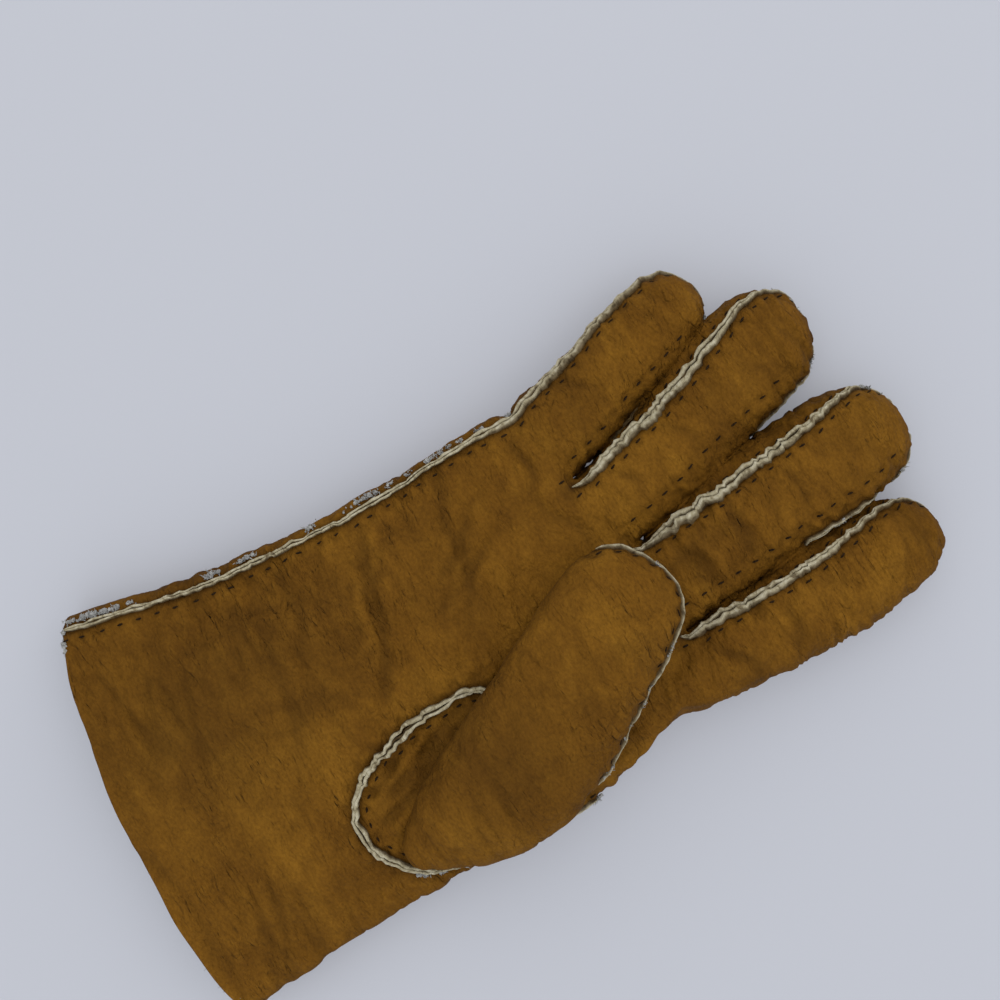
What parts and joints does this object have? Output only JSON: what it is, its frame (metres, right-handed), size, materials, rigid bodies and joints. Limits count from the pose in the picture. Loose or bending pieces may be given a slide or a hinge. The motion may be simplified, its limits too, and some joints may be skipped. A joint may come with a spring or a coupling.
{
  "type": "shearling winter glove",
  "caption": "Right-hand shearling glove with turned-out seams, wool lining, side strips between the fingers and a folded-over thumb.",
  "frame": {"origin": "centre of the bounding box, on the flat back of the glove", "axes": "+Y to the fingertips, +X to the thumb side, +Z out of the palm"},
  "size_m": [0.1328, 0.2718, 0.0515],
  "materials": {
    "ochre_suede": "napped suede, mottled",
    "fourchette_suede": "napped suede",
    "turned_out_seam": "raw cut edge of the hide, cream",
    "sheepskin_wool": "clipped wool pile",
    "sewing_thread": "waxed twisted thread"
  },
  "bodies": {
    "hand": {"palm_and_back_leather": "ochre_suede", "hand_fleece": "sheepskin_wool", "fourchette_forks": "fourchette_suede", "finger_root_seams": "turned_out_seam", "finger_root_threads": "sewing_thread", "back_points": "ochre_suede", "back_point_threads": "sewing_thread", "side_seam": "turned_out_seam", "side_seam_thread": "sewing_thread", "thumb_gusset": "ochre_suede", "thumb_hole_seam": "turned_out_seam", "thumb_hole_thread": "sewing_thread"},
    "index_lower": {"index_lower_trank": "ochre_suede", "index_lower_fourchettes": "fourchette_suede", "index_lower_fleece": "sheepskin_wool", "index_lower_seams": "turned_out_seam", "index_lower_threads": "sewing_thread"},
    "index_upper": {"index_upper_trank": "ochre_suede", "index_upper_fourchettes": "fourchette_suede", "index_upper_fleece": "sheepskin_wool", "index_upper_seams": "turned_out_seam", "index_upper_threads": "sewing_thread"},
    "middle_lower": {"middle_lower_trank": "ochre_suede", "middle_lower_fourchettes": "fourchette_suede", "middle_lower_fleece": "sheepskin_wool", "middle_lower_seams": "turned_out_seam", "middle_lower_threads": "sewing_thread"},
    "middle_upper": {"middle_upper_trank": "ochre_suede", "middle_upper_fourchettes": "fourchette_suede", "middle_upper_fleece": "sheepskin_wool", "middle_upper_seams": "turned_out_seam", "middle_upper_threads": "sewing_thread"},
    "ring_lower": {"ring_lower_trank": "ochre_suede", "ring_lower_fourchettes": "fourchette_suede", "ring_lower_fleece": "sheepskin_wool", "ring_lower_seams": "turned_out_seam", "ring_lower_threads": "sewing_thread"},
    "ring_upper": {"ring_upper_trank": "ochre_suede", "ring_upper_fourchettes": "fourchette_suede", "ring_upper_fleece": "sheepskin_wool", "ring_upper_seams": "turned_out_seam", "ring_upper_threads": "sewing_thread"},
    "little_lower": {"little_lower_trank": "ochre_suede", "little_lower_fourchettes": "fourchette_suede", "little_lower_fleece": "sheepskin_wool", "little_lower_seams": "turned_out_seam", "little_lower_threads": "sewing_thread"},
    "little_upper": {"little_upper_trank": "ochre_suede", "little_upper_fourchettes": "fourchette_suede", "little_upper_fleece": "sheepskin_wool", "little_upper_seams": "turned_out_seam", "little_upper_threads": "sewing_thread"},
    "thumb_heel": {"thumb_heel_leather": "ochre_suede", "thumb_heel_fleece": "sheepskin_wool", "thumb_neck": "ochre_suede"},
    "thumb": {"thumb_leather": "ochre_suede", "thumb_fleece": "sheepskin_wool", "thumb_seam": "turned_out_seam", "thumb_thread": "sewing_thread"}
  },
  "joints": [
    {"name": "index_knuckle", "type": "hinge", "parent": "hand", "child": "index_lower", "pos_m": [0.04391, 0.04839, 0.0263], "axis": [0.9985, 0.0541, 0], "range_deg": [0, 50]},
    {"name": "index_middle_joint", "type": "hinge", "parent": "index_lower", "child": "index_upper", "pos_m": [0.04198, 0.08415, 0.0263], "axis": [0.9985, 0.0541, 0], "range_deg": [0, 60]},
    {"name": "middle_knuckle", "type": "hinge", "parent": "hand", "child": "middle_lower", "pos_m": [0.01372, 0.04986, 0.0263], "axis": [0.9965, 0.0837, 0], "range_deg": [0, 50]},
    {"name": "middle_middle_joint", "type": "hinge", "parent": "middle_lower", "child": "middle_upper", "pos_m": [0.01054, 0.08775, 0.0263], "axis": [0.9965, 0.0837, 0], "range_deg": [0, 60]},
    {"name": "ring_knuckle", "type": "hinge", "parent": "hand", "child": "ring_lower", "pos_m": [-0.01477, 0.04612, 0.0263], "axis": [0.9744, 0.225, 0], "range_deg": [0, 50]},
    {"name": "ring_middle_joint", "type": "hinge", "parent": "ring_lower", "child": "ring_upper", "pos_m": [-0.02276, 0.08072, 0.0263], "axis": [0.9744, 0.225, 0], "range_deg": [0, 60]},
    {"name": "little_knuckle", "type": "hinge", "parent": "hand", "child": "little_lower", "pos_m": [-0.04393, 0.04407, 0.0263], "axis": [0.9763, 0.2164, 0], "range_deg": [0, 50]},
    {"name": "little_middle_joint", "type": "hinge", "parent": "little_lower", "child": "little_upper", "pos_m": [-0.04937, 0.0686, 0.0263], "axis": [0.9763, 0.2164, 0], "range_deg": [0, 60]},
    {"name": "thumb_swing", "type": "hinge", "parent": "hand", "child": "thumb_heel", "pos_m": [0.0431, -0.0396, 0.0293], "axis": [0, 0, -1], "range_deg": [0, 55]},
    {"name": "thumb_lift", "type": "hinge", "parent": "thumb_heel", "child": "thumb", "pos_m": [0.0389, -0.0155, 0.0518], "axis": [0.8572, 0.515, 0], "range_deg": [0, 70]}
  ]
}
